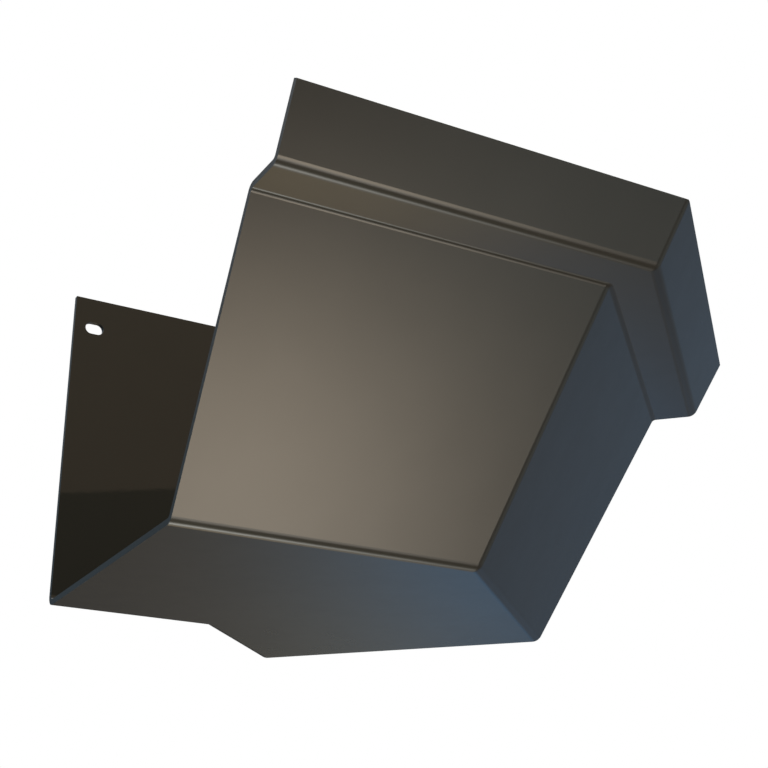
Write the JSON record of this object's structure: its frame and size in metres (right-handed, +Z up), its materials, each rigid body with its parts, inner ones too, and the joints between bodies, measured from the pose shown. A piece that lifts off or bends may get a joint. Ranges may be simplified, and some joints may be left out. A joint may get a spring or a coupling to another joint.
{
  "type": "gutter outside miter",
  "caption": "Folded sheet corner that carries a box gutter round an outside roof corner, with a flat underside, leaning face, stepped lip and slotted back walls.",
  "frame": {"origin": "the point where the outside planes of the two back walls meet, level with the underside, so it sits on the roof edge's outside corner line", "axes": "+Z up, -X along the left leg from the corner to its open end, +Y out of the left leg's back wall towards the building, so its trough lies on the -Y side; the right leg runs along (1, 1, 0)"},
  "size_m": [0.2492, 0.2465, 0.127],
  "materials": {
    "painted_sheet": "semi-gloss dark bronze baked paint on aluminium sheet"
  },
  "bodies": {
    "root": {"outside_miter": "painted_sheet"}
  },
  "joints": []
}
